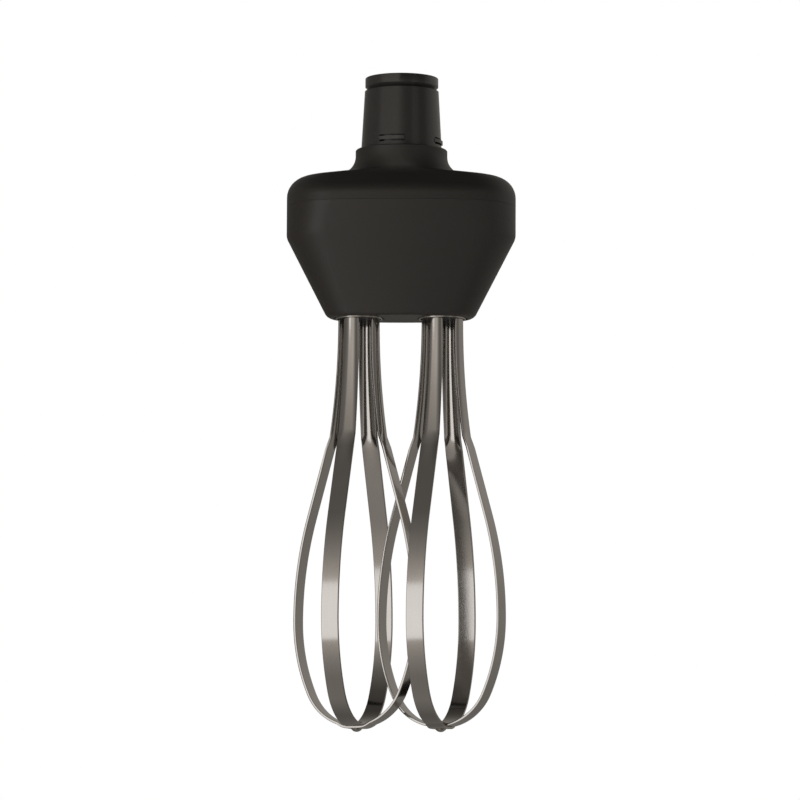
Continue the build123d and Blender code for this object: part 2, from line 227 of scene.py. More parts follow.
@dataclass(frozen=True)
class Finish:
    """What every surface finish of the object has."""

    slot: Slot
    colour: Colour
    roughness: float

    def material(self) -> bpy.types.Material:
        """Make the finish's material.

        Returns:
            A material whose nodes paint this finish.
        """
        material = bpy.data.materials.new(self.slot.value)
        material.use_nodes = True
        material.node_tree.nodes.clear()
        graph = Graph(material.node_tree)
        shader = graph.node("ShaderNodeBsdfPrincipled", None, self.shader_inputs(graph))
        graph.node("ShaderNodeOutputMaterial", None, {"Surface": graph.value(shader)})
        return material

    def shader_inputs(self, graph: Graph) -> dict[int | str, Any]:
        """Inputs of the shader, with the nodes that feed them."""
        raise NotImplementedError

    @staticmethod
    def place(graph: Graph) -> Value:
        """Object coordinates, in metres."""
        return graph.add("ShaderNodeTexCoord", output="Object")

    @staticmethod
    def bump(graph: Graph, height: Value, depth: float) -> Value:
        """Normal that follows a height of a given depth in metres."""
        return graph.add("ShaderNodeBump", None, {"Strength": 1.0, "Distance": depth, "Height": height})


@dataclass(frozen=True)
class MouldedPlastic(Finish):
    """Moulded plastic with a fine grain, faint flow marks and rubbed patches."""

    grain: float = 3200.0
    grain_depth: float = 0.000012
    flow: float = 26.0
    rub: float = 0.06
    specular: float = 0.5

    def shader_inputs(self, graph: Graph) -> dict[int | str, Any]:
        """Inputs of the shader, with the nodes that feed them."""
        place = self.place(graph)
        flow = graph.noise(place, self.flow, 3.0)
        grain = graph.noise(place, self.grain, 1.0)
        colour = graph.mix(flow, shade(self.colour, 0.9), shade(self.colour, 1.1))
        return {
            "Base Color": colour,
            "Roughness": self.roughness + (flow - 0.5) * self.rub + (grain - 0.5) * self.rub,
            "Specular IOR Level": self.specular,
            "Normal": self.bump(graph, grain, self.grain_depth),
        }


@dataclass(frozen=True)
class RolledStrip(Finish):
    """Polished steel strip with fine lines along its length, on the strip's own map."""

    line_scale: Point = (40.0, 9000.0)
    cloud_scale: float = 90.0
    line_depth: float = 0.0000015
    line_spread: float = 0.06

    def shader_inputs(self, graph: Graph) -> dict[int | str, Any]:
        """Inputs of the shader, with the nodes that feed them."""
        along = graph.add("ShaderNodeAttribute", {"attribute_name": STRIP_MAP}, output="Vector")
        lines = graph.noise(graph.stretched(along, (*self.line_scale, 1.0)), 1.0, 3.0)
        cloud = graph.noise(self.place(graph), self.cloud_scale, 2.0)
        colour = graph.mix(lines * 0.6 + cloud * 0.4, shade(self.colour, 0.86), shade(self.colour, 1.14))
        return {
            "Base Color": colour,
            "Metallic": 1.0,
            "Roughness": self.roughness + (lines - 0.5) * self.line_spread + (cloud - 0.5) * 0.05,
            "Normal": self.bump(graph, lines, self.line_depth),
        }


@dataclass(frozen=True)
class TurnedMetal(Finish):
    """Turned metal with fine rings round its upright axis."""

    ring_scale: float = 5200.0
    ring_depth: float = 0.000004
    pores: float = 0.0

    def shader_inputs(self, graph: Graph) -> dict[int | str, Any]:
        """Inputs of the shader, with the nodes that feed them."""
        place = self.place(graph)
        rings = graph.noise(graph.stretched(place, (60.0, 60.0, self.ring_scale)), 1.0, 2.0)
        cloud = graph.noise(place, 420.0, 3.0)
        colour = graph.mix(rings * 0.5 + cloud * 0.5, shade(self.colour, 0.8), shade(self.colour, 1.15))
        return {
            "Base Color": colour,
            "Metallic": 1.0,
            "Roughness": self.roughness + (rings - 0.5) * 0.1 + (cloud - 0.5) * self.pores,
            "Normal": self.bump(graph, rings, self.ring_depth),
        }


FINISHES: tuple[Finish, ...] = (
    MouldedPlastic(Slot.GLOSS_BLACK, (0.014, 0.0125, 0.011), 0.17, 1500.0, 0.000003, 40.0, 0.03, 0.7),
    MouldedPlastic(Slot.SATIN_BLACK, (0.012, 0.0103, 0.0086), 0.42),
    MouldedPlastic(Slot.HUB_BLACK, (0.016, 0.016, 0.016), 0.5),
    RolledStrip(Slot.STRIP_STEEL, (0.44, 0.42, 0.4), 0.11),
    TurnedMetal(Slot.RIVET_STEEL, (0.5, 0.48, 0.45), 0.22),
    TurnedMetal(Slot.SHAFT_STEEL, (0.55, 0.55, 0.56), 0.26),
    TurnedMetal(Slot.BUSH_BRONZE, (0.55, 0.38, 0.2), 0.4, pores=0.2),
    MouldedPlastic(Slot.GEAR_PLASTIC, (0.74, 0.72, 0.66), 0.42),
    MouldedPlastic(Slot.DOG_PLASTIC, (0.03, 0.03, 0.03), 0.4),
)
STRIP_MAP = "strip_map"


class Palette:
    """The object's finishes as materials, by slot."""

    def __init__(self, finishes: Iterable[Finish]) -> None:
        """Make a material of each finish."""
        self.materials = {finish.slot: finish.material() for finish in finishes}

    def dress(self, piece: bpy.types.Object, slot: Slot) -> None:
        """Give a piece one finish all over."""
        piece.data.materials.clear()
        piece.data.materials.append(self.materials[slot])


def join_run(start: Sequence[float], end: Sequence[float]) -> Vector:
    """Direction from one plane point to another."""
    return Vector((end[0] - start[0], end[1] - start[1])).normalized()


def rounded_line(corners: Sequence[Sequence[float]], steps: int) -> np.ndarray:
    """Polyline whose corners are rounded.

    Args:
        corners: Plane points; all but the first and last have their round's radius as third value.
        steps: Steps along each round.

    Returns:
        The points, one in a row.
    """
    points = [corners[0][:2]]
    for before, corner, after in zip(corners, corners[1:], corners[2:]):
        arriving = join_run(before, corner)
        leaving = join_run(corner, after)
        turn = arriving.angle(leaving)
        place = Vector(corner[:2])
        start = place - arriving * corner[2] * math.tan(turn / 2)
        centre = place + (leaving - arriving).normalized() * corner[2] / math.cos(turn / 2)
        side = math.copysign(1.0, arriving.x * leaving.y - arriving.y * leaving.x)
        for step in range(steps + 1):
            spin = Matrix.Rotation(side * turn * step / steps, 2)
            points.append(tuple(centre + spin @ (start - centre)))
    points.append(corners[-1][:2])
    return np.array(points)


def arc_points(centre: Point, radius: float, start: float, end: float, steps: int) -> list[Point]:
    """Points along an arc, without its first one."""
    angles = [start + (end - start) * step / steps for step in range(1, steps + 1)]
    return [(centre[0] + radius * math.cos(a), centre[1] + radius * math.sin(a)) for a in angles]


def new_object(name: str, mesh: bpy.types.Mesh) -> bpy.types.Object:
    """Object at the origin with a mesh."""
    piece = bpy.data.objects.new(name, mesh)
    bpy.context.scene.collection.objects.link(piece)
    return piece


def drawn_object(name: str, points: Iterable[Sequence[float]], edges: Sequence[tuple[int, int]],
                 faces: Sequence[Sequence[int]] = ()) -> bpy.types.Object:
    """Object from points in millimetres."""
    mesh = bpy.data.meshes.new(name)
    mesh.from_pydata([Vector(point) * MM for point in points], edges, faces)
    return new_object(name, mesh)


def smooth(mesh: bpy.types.Mesh, crease: float) -> None:
    """Shade a mesh smooth, apart from edges sharper than a crease angle in degrees."""
    mesh.shade_smooth()
    mesh.set_sharp_from_angle(angle=math.radians(crease))


def close_up(mesh: bpy.types.Mesh, merge: float = 0.002 * MM) -> None:
    """Merge doubled points and turn all faces outwards."""
    shape = bmesh.new()
    shape.from_mesh(mesh)
    bmesh.ops.remove_doubles(shape, verts=shape.verts[:], dist=merge)
    bmesh.ops.dissolve_degenerate(shape, edges=shape.edges[:], dist=merge)
    bmesh.ops.recalc_face_normals(shape, faces=shape.faces[:])
    shape.to_mesh(mesh)
    shape.free()


def settle(piece: bpy.types.Object, body: Body, slot: Slot, *nodes: str) -> None:
    """Hand a finished piece to the frame.

    Args:
        piece: The piece, in place.
        body: The body it rides on.
        slot: The record's material slot; not used.
        nodes: CAD nodes that it stands for.
    """
    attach(piece, body.value)
    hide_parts(*nodes)
    log.info("%s stands for %s", piece.name, ", ".join(nodes))


def polished_copy(node: str, name: str, crease: float) -> bpy.types.Object:
    """Copy of a CAD node's mesh, joined and shaded smooth."""
    mesh = frame["nodes"][node].data.copy()
    piece = new_object(name, mesh)
    packed = mesh.attributes.get("custom_normal")
    if packed:
        mesh.attributes.remove(packed)
    shape = bmesh.new()
    shape.from_mesh(mesh)
    bmesh.ops.remove_doubles(shape, verts=shape.verts[:], dist=0.0005 * MM)
    shape.to_mesh(mesh)
    shape.free()
    smooth(mesh, crease)
    return piece


class PathTool:
    """Geometry Nodes tools that sweep and turn pieces."""

    @staticmethod
    def tree(name: str, inputs: Sequence[tuple[str, str]]) -> tuple[Graph, bpy.types.Node]:
        """Start a geometry tree.

        Args:
            name: The tree's name.
            inputs: Name and socket type of each input after the geometry.

        Returns:
            The tree's graph and its input node.
        """
        tree = bpy.data.node_groups.new(name, "GeometryNodeTree")
        tree.interface.new_socket("Geometry", in_out="INPUT", socket_type="NodeSocketGeometry")
        for label, kind in inputs:
            tree.interface.new_socket(label, in_out="INPUT", socket_type=kind)
        tree.interface.new_socket("Geometry", in_out="OUTPUT", socket_type="NodeSocketGeometry")
        graph = Graph(tree)
        return graph, graph.node("NodeGroupInput")

    @staticmethod
    def end(graph: Graph, shape: Value, material: Value) -> bpy.types.NodeTree:
        """Close a tree with its material and real geometry."""
        painted = graph.add("GeometryNodeSetMaterial", None, {"Geometry": shape, "Material": material})
        real = graph.add("GeometryNodeRealizeInstances", None, {0: painted})
        graph.node("NodeGroupOutput", None, {0: real})
        return graph.tree

    @classmethod
    def strip_tree(cls) -> bpy.types.NodeTree:
        """Tree that sweeps a strip's section along its line and curls it above the kink.

        Returns:
            The tree, with its section, levels and material as inputs.
        """
        inputs = [("Section", "NodeSocketObject"), ("Curled Above", "NodeSocketFloat"),
                  ("Flat Below", "NodeSocketFloat"), ("Narrow Above", "NodeSocketFloat"),
                  ("Narrow Share", "NodeSocketFloat"), ("Curl Axis", "NodeSocketFloat"),
                  ("Thickness", "NodeSocketFloat"), ("Finish", "NodeSocketMaterial")]
        graph, given = cls.tree("whisk strip", inputs)
        line = graph.add("GeometryNodeMeshToCurve", None, {0: graph.value(given, "Geometry")})
        line = graph.add("GeometryNodeSetCurveNormal", {"mode": "FREE"}, {"Curve": line, "Normal": (0.0, 1.0, 0.0)})
        run = graph.add("GeometryNodeSplineParameter", output="Length")
        line = graph.add("GeometryNodeStoreNamedAttribute", {"data_type": "FLOAT", "domain": "POINT"},
                         {"Geometry": line, "Name": "run", "Value": run})
        section = graph.add("GeometryNodeObjectInfo", None, {"Object": graph.value(given, "Section")}, "Geometry")
        section = graph.add("GeometryNodeMeshToCurve", None, {0: section})
        drawn = graph.node("ShaderNodeSeparateXYZ", None, {0: graph.add("GeometryNodeInputPosition")})
        section = graph.add("GeometryNodeStoreNamedAttribute", {"data_type": "FLOAT", "domain": "POINT"},
                            {"Geometry": section, "Name": "depth", "Value": graph.value(drawn, "Y")})
        strip = graph.add("GeometryNodeCurveToMesh", None,
                          {"Curve": line, "Profile Curve": section, "Fill Caps": True})
        place = graph.node("ShaderNodeSeparateXYZ", None, {0: graph.add("GeometryNodeInputPosition")})
        reach, across, level = (graph.value(place, axis) for axis in "XYZ")
        flat_below, curled_above, narrow_above, narrow_share, curl_axis, thickness = (
            graph.value(given, name) for name in
            ("Flat Below", "Curled Above", "Narrow Above", "Narrow Share", "Curl Axis", "Thickness"))
        curl = (level - flat_below) / (curled_above - flat_below)
        curl = graph.add("ShaderNodeClamp", None, {"Value": curl})
        taper = (level - curled_above) / (narrow_above - curled_above)
        taper = graph.add("ShaderNodeClamp", None, {"Value": taper})
        narrowed = across * taper * (narrow_share - 1.0)
        depth = graph.add("GeometryNodeInputNamedAttribute", {"data_type": "FLOAT"}, {"Name": "depth"})
        edge = across + narrowed
        arm = reach.math("ABSOLUTE") - curl_axis
        bend_arm = arm - depth + thickness * 0.25
        sine = edge / bend_arm
        cosine = (1.0 - sine * sine).math("MAXIMUM", 0.0).math("SQRT")
        inwards = arm * (cosine - 1.0) * curl * reach.math("SIGN")
        sideways = narrowed + (arm * sine - edge) * curl
        offset = graph.add("ShaderNodeCombineXYZ", None, {"X": inwards, "Y": sideways})
        strip = graph.add("GeometryNodeSetPosition", None, {"Geometry": strip, "Offset": offset})
        run = graph.add("GeometryNodeInputNamedAttribute", {"data_type": "FLOAT"}, {"Name": "run"})
        chart = graph.add("ShaderNodeCombineXYZ", None, {"X": run, "Y": across})
        strip = graph.add("GeometryNodeStoreNamedAttribute", {"data_type": "FLOAT2", "domain": "CORNER"},
                          {"Geometry": strip, "Name": STRIP_MAP, "Value": chart})
        return cls.end(graph, strip, graph.value(given, "Finish"))

    @classmethod
    def turned_tree(cls) -> bpy.types.NodeTree:
        """Tree that turns a drawn profile about the upright axis.

        Returns:
            The tree, with its segments and material as inputs.
        """
        inputs = [("Segments", "NodeSocketInt"), ("Finish", "NodeSocketMaterial")]
        graph, given = cls.tree("turned piece", inputs)
        circle = graph.add("GeometryNodeCurvePrimitiveCircle", {"mode": "RADIUS"},
                           {"Resolution": graph.value(given, "Segments"), "Radius": MM})
        outwards = graph.add("GeometryNodeInputPosition")
        circle = graph.add("GeometryNodeSetCurveNormal", {"mode": "FREE"}, {"Curve": circle, "Normal": outwards})
        profile = graph.add("GeometryNodeMeshToCurve", None, {0: graph.value(given, "Geometry")})
        shape = graph.add("GeometryNodeCurveToMesh", None, {"Curve": circle, "Profile Curve": profile})
        return cls.end(graph, shape, graph.value(given, "Finish"))

    @staticmethod
    def apply(piece: bpy.types.Object, tree: bpy.types.NodeTree, inputs: dict[str, Any]) -> None:
        """Run a tree on a piece and keep the result as its plain mesh.

        Args:
            piece: Object whose mesh is the tree's geometry.
            tree: The tree.
            inputs: Values of the tree's inputs, by name.
        """
        modifier = piece.modifiers.new(tree.name, "NODES")
        modifier.node_group = tree
        for item in tree.interface.items_tree:
            if item.in_out == "INPUT" and item.name in inputs:
                modifier[item.identifier] = inputs[item.name]
        bpy.context.view_layer.update()
        evaluated = piece.evaluated_get(bpy.context.evaluated_depsgraph_get())
        mesh = bpy.data.meshes.new_from_object(evaluated)
        drawn = piece.data
        piece.modifiers.clear()
        piece.data = mesh
        bpy.data.meshes.remove(drawn)
        mesh.name = piece.name


@dataclass
class CouplingStub:
    """Glossy tapered stub that plugs into the motor handle, with the drive dog in its cup."""

    palette: Palette
    crease: float = 28.0
    groove_floor: float = 13.55
    groove_sink: float = 1.4
    grooves_from: float = 1.35
    grooves_to: float = 3.85

    def sink_grooves(self, mesh: bpy.types.Mesh) -> None:
        """Sink the floor of the grooves above and below each latch bar, so that they show as gaps.

        Args:
            mesh: The stub's mesh.
        """
        for point in mesh.vertices:
            outwards = Vector((point.co.x, point.co.y, 0.0))
            on_floor = abs(outwards.length / MM - self.groove_floor) < 0.02
            if on_floor and self.grooves_from < point.co.z / MM < self.grooves_to:
                point.co -= outwards.normalized() * self.groove_sink * MM

    def build(self) -> None:
        """Dress the stub and the drive inside it."""
        stub = polished_copy("coupling_stub", "stub_moulding", self.crease)
        self.sink_grooves(stub.data)
        self.palette.dress(stub, Slot.GLOSS_BLACK)
        settle(stub, Body.HOUSING, Slot.GLOSS_BLACK, "coupling_stub")
        dog = polished_copy("drive_dog", "drive_dog_moulding", self.crease)
        self.palette.dress(dog, Slot.DOG_PLASTIC)
        settle(dog, Body.INPUT, Slot.DOG_PLASTIC, "drive_dog")


@dataclass
class Housing:
    """Satin moulded cover and funnel, drawn as rings that follow two silhouettes. Millimetres."""

    palette: Palette
    collar_radius: float = 16.0
    rim_edge: float = 0.3
    dome_level: float = 7.95
    dome_fall: float = 2.3
    flare_round: float = 6.3
    dome_round: float = 7.3
    corner_level: float = 30.9
    corner_round: float = 5.0
    underside_half_length: float = 25.5
    end_round: float = 3.2
    brow_level: float = 9.0
    brow_fall: float = 6.5
    brow_round: float = 5.0
    brow_edge_round: float = 6.0
    flank_share: float = 4.0
    underside_half_depth: float = 11.6
    front_round: float = 1.2
    wall: float = 2.4
    lip_height: float = 2.0
    joint_gap: float = 0.1
    joint_edge: float = 0.07
    spigot_bore: float = 12.02
    spigot_depth: float = 9.5
    input_bore: float = 4.62
    bush_bore: float = 5.62
    pocket_radius: float = 8.45
    bore_edge: float = 0.5
    floor_border: float = 0.3
    boss_radii: tuple[float, float] = (4.7, 4.2)
    boss_bores: tuple[float, float] = (2.55, 2.02)
    boss_drop: float = 2.6
    round_steps: int = 9
    end_steps: int = 28
    side_steps: int = 8
    bore_steps: int = 72
    crease: float = 26.0
    lengthways: np.ndarray = field(init=False)
    depthways: np.ndarray = field(init=False)

    def __post_init__(self) -> None:
        """Take the main sizes from the frame and draw the two silhouettes."""
        low, high = (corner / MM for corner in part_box("lower_housing"))
        self.belt_half_length = high.x
        self.belt_half_depth = high.y
        self.parting = high.z
        self.underside = low.z
        self.gear_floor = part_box("left_bush")[1].z / MM - 1.0
        self.hub_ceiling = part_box("left_bush")[0].z / MM
        self.whisk_x = (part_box("right_bush")[0].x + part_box("right_bush")[1].x) / 2 / MM
        self.ceiling = -self.dome_level - self.dome_fall - self.wall
        rim = (self.collar_radius - self.rim_edge, 0.0)
        rim_foot = (self.collar_radius, -self.rim_edge, 0.0)
        self.lengthways = rounded_line([
            rim, rim_foot,
            (self.collar_radius, -self.dome_level, self.flare_round),
            (self.belt_half_length, -self.dome_level - self.dome_fall, self.dome_round),
            (self.belt_half_length, -self.corner_level, self.corner_round),
            (self.underside_half_length, self.underside, self.end_round),
            (0.0, self.underside),
        ], self.round_steps)[:-1]
        self.depthways = rounded_line([
            rim, rim_foot,
            (self.collar_radius, -self.brow_level, self.brow_round),
            (self.belt_half_depth, -self.brow_level - self.brow_fall, self.brow_edge_round),
            (self.belt_half_depth, self.parting, 0.0),
            (self.underside_half_depth, self.underside, self.front_round),
            (0.0, self.underside),
        ], self.round_steps)[:-1]

    def ring(self, half_length: float, half_depth: float, level: float) -> np.ndarray:
        """Points round an oval of four arcs at a level, from the right-hand end's front."""
        flank = self.flank_share * half_length
        end = (2 * flank * half_depth - half_depth ** 2 - half_length ** 2) / (2 * (flank - half_length))
        swing = math.asin((half_length - end) / (flank - end))
        turn = np.linspace(swing - math.pi / 2, math.pi / 2 - swing, self.end_steps + 1)
        right = np.column_stack([half_length - end + end * np.cos(turn), end * np.sin(turn)])
        lean = np.linspace(swing, -swing, self.side_steps + 1)[1:-1]
        back = np.column_stack([flank * np.sin(lean), half_depth - flank * (1 - np.cos(lean))])
        half = np.vstack([right, back])
        outline = np.vstack([half, -half])
        return np.column_stack([outline, np.full(len(outline), level)])

    def form_ring(self, level: float, inset: float = 0.0) -> np.ndarray:
        """Ring of the housing's form at a level, drawn in by an inset."""
        lengths, depths = self.lengthways, self.depthways
        half_length = np.interp(-level, -lengths[:, 1], lengths[:, 0])
        half_depth = np.interp(-level, -depths[:, 1], depths[:, 0])
        return self.ring(half_length - inset, half_depth - inset, level)

    def round_ring(self, radius: float, level: float) -> np.ndarray:
        """Ring of a round bore with as many points as an oval ring."""
        return self.ring(radius, radius, level)

    def levels(self, top: float, bottom: float) -> list[float]:
        """Levels of both silhouettes between two levels, from the top down."""
        found = np.concatenate([self.lengthways[:, 1], self.depthways[:, 1]])
        found = np.unique(np.round(found[(found < top - 0.05) & (found > bottom + 0.05)], 2))
        return [top, *found[::-1], bottom]

    @staticmethod
    def stack(rings: Sequence[np.ndarray], closed: bool) -> tuple[list[np.ndarray], list[tuple[int, ...]]]:
        """Points and quads of rings joined in order."""
        count = len(rings[0])
        faces = []
        for index in range(len(rings) if closed else len(rings) - 1):
            here = index * count
            there = (index + 1) % len(rings) * count
            for step in range(count):
                after = (step + 1) % count
                faces.append((here + step, here + after, there + after, there + step))
        return list(np.vstack(rings)), faces

    def tube(self, x: float, outer: float, inner: float, bottom: float, top: float) -> list[np.ndarray]:
        """Rings of a round boss with a bore."""
        rings = [self.round_ring(radius, level) for radius, level in
                 ((outer, top), (outer, bottom), (inner, bottom), (inner, top))]
        return [ring + np.array([x, 0.0, 0.0]) for ring in rings]

    def cover(self) -> bpy.types.Object:
        """Dome with its collar, a lip below, the spigot's bore above and two bosses inside."""
        edge = self.joint_edge
        lip_inset = self.wall / 2 + self.joint_gap / 2
        rings = [self.form_ring(level) for level in self.levels(0.0, self.parting + edge)]
        rings.append(self.form_ring(self.parting, edge))
        rings.append(self.form_ring(self.parting, lip_inset))
        for inset in (lip_inset, self.wall):
            ring = self.form_ring(self.parting, inset)
            rings.append(ring - np.array([0.0, 0.0, self.lip_height]))
        cavity = self.levels(self.ceiling, self.parting)[::-1]
        rings += [self.form_ring(level, self.wall) for level in cavity]
        rings.append(self.round_ring(self.input_bore, self.ceiling))
        rings.append(self.round_ring(self.input_bore, -self.spigot_depth))
        rings.append(self.round_ring(self.spigot_bore, -self.spigot_depth))
        rings.append(self.round_ring(self.spigot_bore, 0.0))
        points, faces = self.stack(rings, closed=True)
        for side, outer, inner in zip((-1, 1), self.boss_radii, self.boss_bores):
            boss = self.tube(side * self.whisk_x, outer, inner, self.ceiling - self.boss_drop, self.ceiling)
            boss_points, boss_faces = self.stack(boss, closed=True)
            faces += [tuple(corner + len(points) for corner in face) for face in boss_faces]
            points += boss_points
        piece = drawn_object("cover_moulding", points, [], faces)
        close_up(piece.data)
        return piece

    def bore(self, shape: bmesh.types.BMesh, x: float, sections: Sequence[Point]) -> list[list[bmesh.types.BMEdge]]:
        """Draw the wall of a stepped bore.

        Args:
            shape: Mesh that the wall is added to.
            x: Place of the bore's axis.
            sections: Radius and level of each ring.

        Returns:
            Edges of the first and of the last ring.
        """
        rings = []
        for radius, level in sections:
            ring = []
            for step in range(self.bore_steps):
                angle = 2 * math.pi * step / self.bore_steps
                place = Vector((x + radius * math.cos(angle), radius * math.sin(angle), level))
                ring.append(shape.verts.new(place * MM))
            rings.append(ring)
        for upper, lower in zip(rings, rings[1:]):
            for step in range(self.bore_steps):
                after = (step + 1) % self.bore_steps
                shape.faces.new((upper[step], upper[after], lower[after], lower[step]))
        return [[shape.edges.get((ring[step - 1], ring[step])) for step in range(self.bore_steps)]
                for ring in (rings[0], rings[-1])]

    def funnel(self) -> bpy.types.Object:
        """Lower housing with its gear chamber, rebate and two stepped bores."""
        edge = self.joint_edge
        rebate_inset = self.wall / 2 - self.joint_gap / 2
        rebate_level = self.parting - self.lip_height - self.joint_gap
        rings = [self.form_ring(level, self.wall) for level in self.levels(rebate_level, self.gear_floor)[::-1]]
        rings.append(self.form_ring(rebate_level, rebate_inset))
        rings.append(self.form_ring(self.parting, rebate_inset))
        rings.append(self.form_ring(self.parting, edge))
        rings += [self.form_ring(level) for level in self.levels(self.parting - edge, self.underside)]
        rings.append(self.form_ring(self.underside, self.floor_border))
        points, faces = self.stack(rings, closed=False)
        piece = drawn_object("funnel_moulding", points, [], faces)
        shape = bmesh.new()
        shape.from_mesh(piece.data)
        marks = shape.faces.layers.int.new("flat_floor")
        rims = [edge for edge in shape.edges if edge.is_boundary]
        chamber_rim = [edge for edge in rims if edge.verts[0].co.z > self.parting * MM * 2]
        underside_rim = [edge for edge in rims if edge not in chamber_rim]
        sections = [
            (self.bush_bore, self.gear_floor),
            (self.bush_bore, self.hub_ceiling),
            (self.pocket_radius, self.hub_ceiling),
            (self.pocket_radius, self.underside + self.bore_edge),
            (self.pocket_radius + self.bore_edge, self.underside),
        ]
        for side in (-1, 1):
            top, bottom = self.bore(shape, side * self.whisk_x, sections)
            chamber_rim += top
            underside_rim += bottom
        for rim in (chamber_rim, underside_rim):
            filled = bmesh.ops.triangle_fill(shape, edges=rim, use_beauty=True)
            for item in filled["geom"]:
                if isinstance(item, bmesh.types.BMFace):
                    item[marks] = 1
        bmesh.ops.recalc_face_normals(shape, faces=shape.faces[:])
        shape.to_mesh(piece.data)
        shape.free()
        return piece

    def build(self) -> None:
        """Build and dress both mouldings."""
        for piece, node in ((self.cover(), "upper_cover"), (self.funnel(), "lower_housing")):
            smooth(piece.data, self.crease)
            marks = piece.data.attributes.get("flat_floor")
            if marks is not None:
                for face, mark in zip(piece.data.polygons, marks.data):
                    face.use_smooth = mark.value == 0
                piece.data.attributes.remove(marks)
            self.palette.dress(piece, Slot.SATIN_BLACK)
            settle(piece, Body.HOUSING, Slot.SATIN_BLACK, node)


@dataclass
class StripLine:
    """Line of a whisk loop in its own plane, about the whisk axis. Millimetres."""

    slot_top: float = -50.5
    shank_radius: float = 7.1
    shank_width: float = 5.45
    curl_radius: float = 3.4
    shank_straight: float = 1.0
    kink_level: float = 102.5
    kink_radius: float = 10.2
    kink_half: float = 2.0
    lean: float = 16.0
    widest_level: float = 163.9
    balloon_radius: float = 22.55
    bottom_level: float = 200.7
    bottom_radius: float = 18.7
    pad_margin: float = 0.5
    pad_ease: float = 0.4
    joggle_run: float = 2.4
    foot_round: float = 3.0
    pad_round: float = 6.0
    width: float = 6.35
    thickness: float = 0.9
    edge_round: float = 0.16
    underside: float = -59.1
    steps: int = 22

    @property
    def pad_half(self) -> float:
        """Half length of the flat pad under the rivet."""
        return self.width / 2 + self.pad_margin

    def pad_run(self, outer: bool) -> float:
        """Distance from the axis where a loop leaves its bottom arc."""
        return self.pad_half + (self.joggle_run if outer else self.pad_ease)

    @property
    def bottom_centre(self) -> Point:
        """Centre of the bottom arc."""
        return (0.0, self.bottom_radius - self.bottom_level)

    def pad_level(self, outer: bool) -> float:
        """Level of a loop's pad."""
        run = self.pad_run(False)
        inner = self.bottom_centre[1] - math.sqrt(self.bottom_radius ** 2 - run ** 2)
        return inner - self.thickness if outer else inner

    def shank_points(self) -> list[Point]:
        """Points of the shank from the slot down to the kink."""
        bend = self.underside - self.shank_straight
        fall = bend + self.kink_level
        spread = self.kink_radius - self.shank_radius
        radius = (fall ** 2 + spread ** 2) / (2 * spread)
        end = math.asin((fall - self.kink_half) / radius)
        straight = np.linspace(self.slot_top, bend, self.steps // 3)
        points = [(self.shank_radius, level) for level in straight]
        centre = (self.shank_radius + radius, bend)
        return points + arc_points(centre, radius, math.pi, math.pi + end, self.steps)

    def belly_points(self, outer: bool) -> list[Point]:
        """Points of the balloon from below the kink to the middle of the pad."""
        lean = math.radians(self.lean)
        spread = self.balloon_radius - self.kink_radius
        drop = self.widest_level - self.kink_level
        upper_radius = (drop - spread / math.tan(lean)) / math.tan(lean / 2)
        rise = -self.widest_level - self.bottom_centre[1]
        swell = self.balloon_radius - self.bottom_radius
        shift = (rise ** 2 + swell ** 2) / (2 * swell)
        side_radius = self.bottom_radius + shift
        side_turn = math.atan2(rise, shift - swell)
        run = self.pad_run(outer)
        upper_centre = (self.balloon_radius - upper_radius, -self.widest_level)
        side_centre = (self.balloon_radius - side_radius, -self.widest_level)
        pad_level = self.pad_level(outer)
        start = (self.kink_radius + self.kink_half * math.tan(lean), -self.kink_level - self.kink_half)
        first = arc_points(upper_centre, upper_radius, lean, lean * 0.999, 1)[0]
        points = [start]
        points += [tuple(np.array(start) + (np.array(first) - np.array(start)) * share) for share in (0.33, 0.66, 1)]
        points += arc_points(upper_centre, upper_radius, lean, 0.0, 2 * self.steps)
        points += arc_points(side_centre, side_radius, 0.0, -side_turn, self.steps)
        points += arc_points(self.bottom_centre, self.bottom_radius, -side_turn,
                             -math.acos(run / self.bottom_radius), self.steps)
        foot = points.pop()
        corner = (self.pad_half, pad_level, self.pad_round)
        joggle = rounded_line([points[-1], (*foot, self.foot_round), corner, (0.0, pad_level)], 5)
        return points + [tuple(point) for point in joggle[1:]]

    def draw(self, name: str, outer: bool) -> bpy.types.Object:
        """Whole loop's line as a chain of edges."""
        half = self.shank_points() + self.belly_points(outer)
        points = [(x, 0.0, z) for x, z in half]
        points += [(-x, 0.0, z) for x, z in reversed(half[:-1])]
        return drawn_object(name, points, [(index, index + 1) for index in range(len(points) - 1)])

    def section(self, across_steps: int = 10, corner_steps: int = 3) -> bpy.types.Object:
        """Strip's section with rounded edges, as a closed chain of edges."""
        half_width, half_depth = self.width / 2, self.thickness / 2
        round_radius = self.edge_round
        flat = half_width - round_radius
        support = flat - round_radius
        face = [(x, half_depth) for x in (flat, *np.linspace(support, -support, across_steps), -flat)]
        turns = [math.pi / 2 * step / corner_steps for step in range(1, corner_steps)]
        corner = [(-flat - round_radius * math.sin(turn), half_depth - round_radius * (1 - math.cos(turn)))
                  for turn in turns]
        edge = [(-half_width, half_depth - round_radius), (-half_width, round_radius - half_depth)]
        lower = [(x, -y) for x, y in reversed(corner)]
        half = face + corner + edge + lower
        outline = half + [(-x, -y) for x, y in half]
        outline = list(dict.fromkeys((round(x, 5), round(y, 5), 0.0) for x, y in outline))
        count = len(outline)
        return drawn_object("strip_section", outline, [(index, (index + 1) % count) for index in range(count)])


